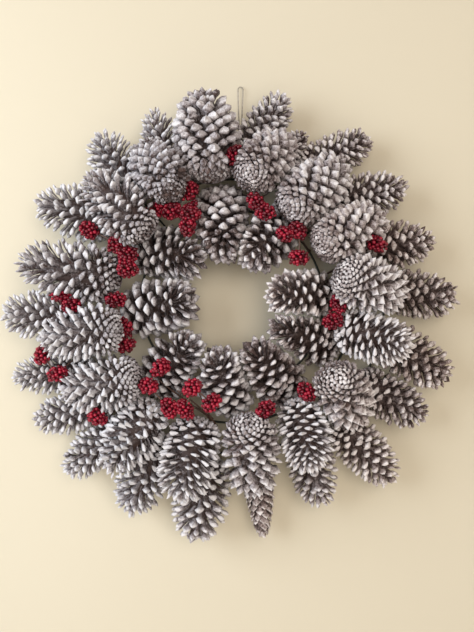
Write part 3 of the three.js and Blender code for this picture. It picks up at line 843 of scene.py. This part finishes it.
# A clump's outer berries: how many, their radii, how much longer the clump is one way, and which
# way that is likely to be, how far they stand past its radius and how much that varies, and how
# much they are turned
CLUMP_BERRIES = 56
BERRY_RADII = (1.9, 2.4)
ROUNDNESS, LENGTHENING = 0.88, 0.32
LONG_WAYS = (1, 0.3, 0.6)
BERRIES_PAST, PAST_SPREAD = 1.2, 1.1
BERRY_TURN_SPREAD = 0.15

# Its inner berries, darker as painted shade in the clump's middle: how many, their distance from
# the middle, radius and painted shades
CORE_BERRIES = 22
CORE_DISTANCE = 6.2
CORE_BERRY = 2.3
PAINTED_SHADE_OF_CORE_BERRIES = (0, 0.3)

# Painted light: sprays whose berries are painted brighter than the others, as if more lit, counted
# from 0
PAINTED_LIGHT_ON_SPRAYS = {2: 0.15, 4: 0.25, 5: 0.25, 6: 0.25}

# Clumps this near to each other run together; in the first spray all of them do. The berries
# between them: where along the way, how far off it, and their radii
BRIDGED = 24
BRIDGED_IN_FIRST = 34
BRIDGE_ALONG = (0.3, 0.7)
BRIDGE_OFF = (3, 9)
BRIDGE_RADII = (1.9, 2.3)

# Stems: radii at their points, sides, how much they bow, and at how many points a main stem is
# tested for its knot's place. Stalks: the same, and to one in how many berries
STEM_RADII = np.linspace(1.3, 0.9, 9)
STEM_SIDES = 7
STEM_BOW = 0.02
STEM_TESTS = 17
STALK_RADIUS = 0.4
STALK_SIDES = 5
STALK_BOW = 0.6
STALK_EVERY = 4

# Bare twigs that show at the lower left, by spray: bearing, distance and depth of both ends
TWIG_RADII = np.linspace(1.4, 0.9, 9)
TWIG_BOW = 2.5
TWIGS = {6: [
    ((187, 159, 52), (211, 127, 84)),
    ((187, 157, 54), (199, 119, 88)),
    ((189, 150, 50), (222, 132, 70)),
]}


def on_ball(k, count, turn=0.0):
    """The direction of point k of a count that the golden angle spreads over a ball."""
    z = 1 - 2 * (k + 0.5) / count
    a = k * GOLDEN_ANGLE + turn
    flat = math.sqrt(1 - z * z)
    return np.array([flat * math.cos(a), z, flat * math.sin(a)])


def bowed(start, end, bow, count):
    """Points of a line that bows aside in the middle."""
    shares = np.linspace(0, 1, count)
    return [start + (end - start) * s + bow * math.sin(math.pi * s) for s in shares]


def knot_place(first, taken):
    """The knot over a free ring corner from which the main stem runs clearest, as in part.mjs."""
    best = None
    bases = np.array([c.base for c in cones])
    axes = np.array([c.axis for c in cones])
    lengths = np.array([c.length for c in cones])
    halves = np.array([c.half for c in cones])
    steps = np.linspace(0, 1, STEM_TESTS)
    for ring in RING_RADII:
        for corner in range(RING_STEPS):
            bearing = LOOP_BEARING + corner * 360 / RING_STEPS
            place = on_wreath(bearing, ring, FRONT_OF_FRAME + KNOT)
            if any(np.linalg.norm(place - knot) < KNOT for knot in taken):
                continue
            points = place + (first - place) * steps[:, None]
            arms = points[:, None] - bases[None]
            heights = (arms * axes).sum(2)
            away = np.linalg.norm(arms - axes * heights[:, :, None], axis=2)
            widths = halves * outline(np.clip(heights / lengths, 0, 1))
            cost = np.maximum(0, widths - away).sum() + np.linalg.norm(first - place)
            if best is None or cost < best[0]:
                best = (cost, place)
    return best[1]


knots = []
for index, spray in enumerate(BERRY_SPRAYS):
    centres = [on_wreath(*clump) for clump in spray]
    knot = knot_place(centres[0], knots)
    knots.append(knot)
    name = f"berry_spray_{index + 1:02d}"
    berries, shades, stems = [], [], []
    for number, centre in enumerate(centres):
        start = min([knot, *centres[:number]], key=lambda p: np.linalg.norm(p - centre))
        apart = np.linalg.norm(centre - start)
        bow = rng.normal(0, STEM_BOW * apart, 3)
        line = bowed(start, centre, bow, len(STEM_RADII))
        stems.append(tube(line, STEM_RADII, STEM_SIDES))
        long_way = rng.normal(0, 1, 3) * LONG_WAYS
        long_way /= np.linalg.norm(long_way)
        for k in range(CLUMP_BERRIES):
            away = on_ball(k, CLUMP_BERRIES, rng.normal(0, BERRY_TURN_SPREAD))
            away = ROUNDNESS * away + LENGTHENING * long_way * (away @ long_way)
            r = rng.uniform(*BERRY_RADII)
            place = centre + away * (CLUMP + BERRIES_PAST - r - abs(rng.normal(0, PAST_SPREAD)))
            berries.append((place + BALL * r, BALL_FACES))
            # Painted light: the berries of some sprays are lighter
            shades.append(np.full(len(BALL), rng.uniform(0, 1) + PAINTED_LIGHT_ON_SPRAYS.get(index, 0)))
            if k % STALK_EVERY == 0:
                halfway = (centre + place) / 2 + rng.normal(0, STALK_BOW, 3)
                stems.append(tube([centre, halfway, place], STALK_RADIUS, STALK_SIDES))
        # The inner berries are darker: painted shade inside the clump
        for k in range(CORE_BERRIES):
            place = centre + on_ball(k, CORE_BERRIES) * CORE_DISTANCE
            berries.append((place + BALL * CORE_BERRY, BALL_FACES))
            shades.append(np.full(len(BALL), rng.uniform(*PAINTED_SHADE_OF_CORE_BERRIES)))
        if number and apart < (BRIDGED if index else BRIDGED_IN_FIRST):
            for _ in range(int(apart)):
                middle = start + (centre - start) * rng.uniform(*BRIDGE_ALONG)
                away = rng.normal(0, 1, 3)
                place = middle + away / np.linalg.norm(away) * rng.uniform(*BRIDGE_OFF)
                berries.append((place + BALL * rng.uniform(*BRIDGE_RADII), BALL_FACES))
                shades.append(np.full(len(BALL), rng.uniform(0, 1)))
    verts, faces = joined(berries)
    shades = {"shade": np.concatenate(shades)}
    piece = new_object("fine_" + name, verts, faces, BERRY, True, shades)
    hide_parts(name)
    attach(piece, "root")
    for twig in TWIGS.get(index, ()):
        low, high = (on_wreath(*end) for end in twig)
        line = bowed(low, high, rng.normal(0, TWIG_BOW, 3), len(TWIG_RADII))
        stems.append(tube(line, TWIG_RADII, STEM_SIDES))
    stems.append((knot + BALL * KNOT, BALL_FACES))
    verts, faces = joined(stems)
    stalks = new_object("stems_" + name, verts, faces, STEM)
    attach(stalks, "root")

# Wire frame and hanging loop

wires = []
inner, outer = RING_RADII[0] - 1, RING_RADII[-1] + 1
for radius in RING_RADII:
    circle = [on_wreath(bearing, radius, FRAME_DEPTH) for bearing in np.arange(0, 360, 3)]
    wires.append(tube(circle, FRAME_WIRE, closed=True))
for tie in range(TIES):
    bearing = LOOP_BEARING + (tie + 0.5) * 360 / TIES
    ends = [on_wreath(bearing, radius, FRAME_DEPTH) for radius in (inner, outer)]
    wires.append(tube(ends, TIE_WIRE))
verts, faces = joined(wires)
piece = new_object("fine_wire_frame", verts, faces, FRAME)
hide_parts("wire_frame")
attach(piece, "root")

eye = on_wreath(LOOP_BEARING, RING_RADII[-1], FRAME_DEPTH)
eye_radius = FRAME_WIRE + CLEARANCE + LOOP_WIRE
feet = [eye + np.array([side, 0, eye_radius]) for side in (-LOOP_FOOT, LOOP_FOOT)]
bend = [
    np.array([LOOP_X + LOOP_BEND * math.cos(a), -FRAME_DEPTH, LOOP_Z + LOOP_BEND * math.sin(a)])
    for a in np.linspace(math.pi, 0, BEND_STEPS + 1)
]
around = [
    eye + np.array([0, eye_radius * math.cos(a), eye_radius * math.sin(a)])
    for a in np.linspace(0, 2 * math.pi, EYE_STEPS, endpoint=False)
]
verts, faces = joined([
    tube([feet[0], *bend, feet[1]], LOOP_WIRE), tube(around, LOOP_WIRE, closed=True),
])
piece = new_object("fine_hanging_loop", verts, faces, LOOP)
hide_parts("hanging_loop")
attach(piece, "root")

# Backdrop behind, floor below: not part of the object

def plane(name, corners, made):
    mesh = bpy.data.meshes.new(name)
    mesh.from_pydata(corners, [], [(0, 1, 2, 3)])
    mesh.materials.append(made)
    obj = bpy.data.objects.new(name, mesh)
    bpy.context.scene.collection.objects.link(obj)


BACKDROP_Y = FRAME_DEPTH * MM
FLOOR_Z = -1.2
plane(
    "backdrop",
    [(-3, BACKDROP_Y, FLOOR_Z), (3, BACKDROP_Y, FLOOR_Z), (3, BACKDROP_Y, 3), (-3, BACKDROP_Y, 3)],
    stage_material("pale_backdrop", (0.51, 0.455, 0.35), (0.53, 0.475, 0.368), True),
)
plane(
    "floor",
    [(-6, -6, FLOOR_Z), (6, -6, FLOOR_Z), (6, 6, FLOOR_Z), (-6, 6, FLOOR_Z)],
    stage_material("pale_floor", (0.72, 0.70, 0.66), (0.76, 0.74, 0.70), False),
)

# Light: a broad soft one from the left, a broader one from in front, and the room's own


def area_light(name, place, size, power, colour):
    """A round light that faces the wreath's centre."""
    light = bpy.data.lights.new(name, "AREA")
    light.shape = "DISK"
    light.size = size
    light.energy = power
    light.color = colour
    obj = bpy.data.objects.new(name, light)
    obj.location = place
    ahead = Vector(ORIGIN * MM) - Vector(place)
    obj.rotation_euler = ahead.to_track_quat("-Z", "Y").to_euler()
    bpy.context.scene.collection.objects.link(obj)


area_light("key", (-1.25, -1.05, 0.02), 1.3, 28, (0.91, 1.0, 1.09))
area_light("fill", (0.4, -2.5, 0.0), 1.8, 45, (1.0, 0.92, 0.83))

world = bpy.data.worlds.new("room")
world.use_nodes = True
background = world.node_tree.nodes["Background"]
background.inputs["Color"].default_value = (1.0, 0.92, 0.84, 1)
background.inputs["Strength"].default_value = 0.43
bpy.context.scene.world = world
bpy.context.scene.view_settings.view_transform = "Standard"

# Camera, at the photograph's place: 474 by 632 pixels, 49 degrees high
camera = bpy.data.cameras.new("camera")
camera.sensor_width = 36
camera.lens = 39.28
camera.clip_start = 0.05
camera.clip_end = 20
view = bpy.data.objects.new("camera", camera)
view.location = (-0.0048, -0.9066, -0.3005)
view.rotation_euler = (math.radians(90), 0, 0)
bpy.context.scene.collection.objects.link(view)
bpy.context.scene.camera = view
